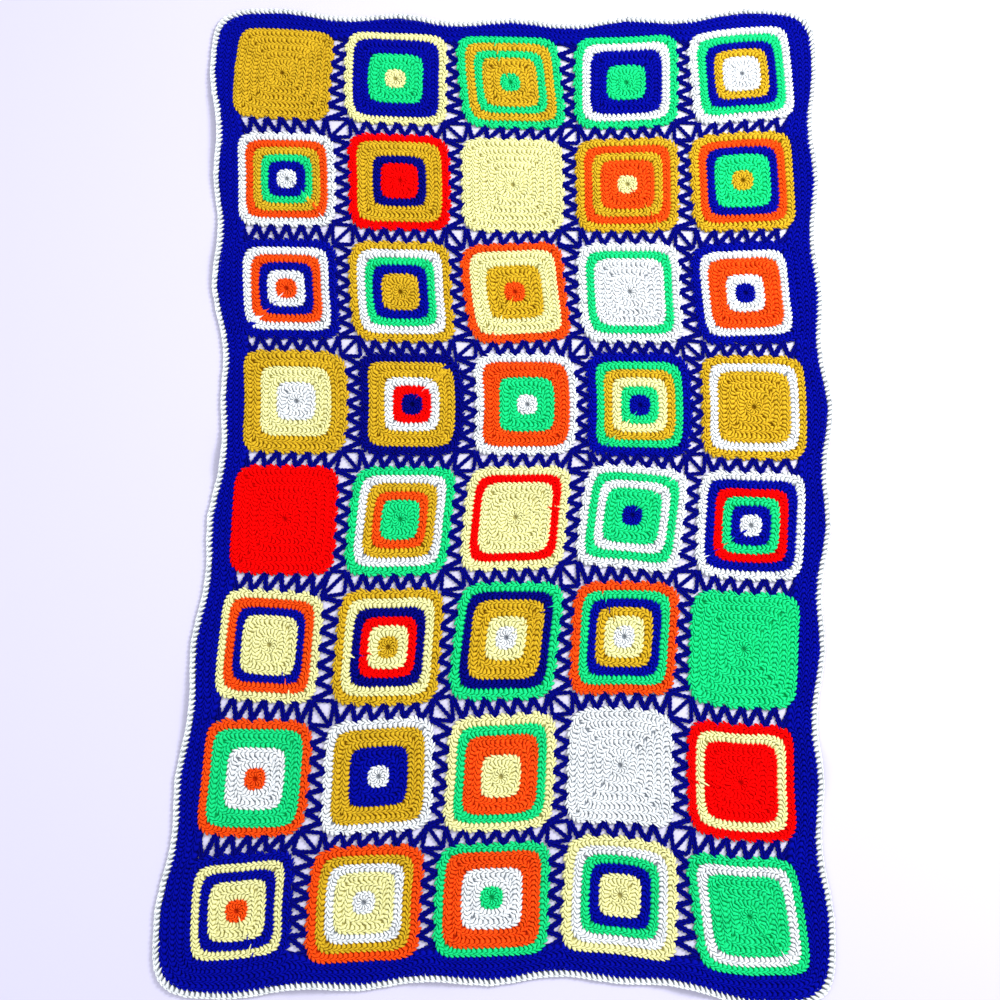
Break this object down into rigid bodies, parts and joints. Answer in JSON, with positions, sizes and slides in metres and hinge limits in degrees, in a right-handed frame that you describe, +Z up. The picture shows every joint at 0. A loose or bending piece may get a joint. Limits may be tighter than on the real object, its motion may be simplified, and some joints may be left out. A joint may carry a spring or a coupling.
{
  "type": "granny square blanket",
  "caption": "Crochet blanket of rounded squares in concentric rounds, joined by zigzag chain lace, with a wavy border and a thin edging, lying flat.",
  "frame": {"origin": "on the surface that the blanket lies on, at the middle of its outline", "axes": "+X across the rows of squares towards the last column, +Y along the blanket towards the first row, +Z up"},
  "size_m": [0.792, 1.228, 0.0089],
  "materials": {
    "yarn_white": "matt yarn, slightly fuzzy",
    "yarn_cream": "matt yarn, slightly fuzzy",
    "yarn_gold": "matt yarn, slightly fuzzy",
    "yarn_orange": "matt yarn, slightly fuzzy",
    "yarn_red": "matt yarn, slightly fuzzy",
    "yarn_green": "matt yarn, slightly fuzzy",
    "yarn_blue": "matt yarn, slightly fuzzy",
    "yarn_navy": "matt yarn, slightly fuzzy"
  },
  "bodies": {
    "root": {"granny_square_r1_c1": "yarn_gold", "granny_square_r1_c2": "yarn_cream", "granny_square_r1_c3": "yarn_green", "granny_square_r1_c4": "yarn_green", "granny_square_r1_c5": "yarn_white", "granny_square_r2_c1": "yarn_white", "granny_square_r2_c2": "yarn_red", "granny_square_r2_c3": "yarn_cream", "granny_square_r2_c4": "yarn_gold", "granny_square_r2_c5": "yarn_gold", "granny_square_r3_c1": "yarn_blue", "granny_square_r3_c2": "yarn_gold", "granny_square_r3_c3": "yarn_orange", "granny_square_r3_c4": "yarn_white", "granny_square_r3_c5": "yarn_blue", "granny_square_r4_c1": "yarn_gold", "granny_square_r4_c2": "yarn_navy", "granny_square_r4_c3": "yarn_white", "granny_square_r4_c4": "yarn_blue", "granny_square_r4_c5": "yarn_gold", "granny_square_r5_c1": "yarn_red", "granny_square_r5_c2": "yarn_green", "granny_square_r5_c3": "yarn_cream", "granny_square_r5_c4": "yarn_white", "granny_square_r5_c5": "yarn_white", "granny_square_r6_c1": "yarn_cream", "granny_square_r6_c2": "yarn_gold", "granny_square_r6_c3": "yarn_green", "granny_square_r6_c4": "yarn_orange", "granny_square_r6_c5": "yarn_green", "granny_square_r7_c1": "yarn_orange", "granny_square_r7_c2": "yarn_white", "granny_square_r7_c3": "yarn_cream", "granny_square_r7_c4": "yarn_white", "granny_square_r7_c5": "yarn_red", "granny_square_r8_c1": "yarn_blue", "granny_square_r8_c2": "yarn_orange", "granny_square_r8_c3": "yarn_green", "granny_square_r8_c4": "yarn_cream", "granny_square_r8_c5": "yarn_green", "joining_lace": "yarn_navy", "blue_border": "yarn_blue", "white_edging": "yarn_white"}
  },
  "joints": []
}
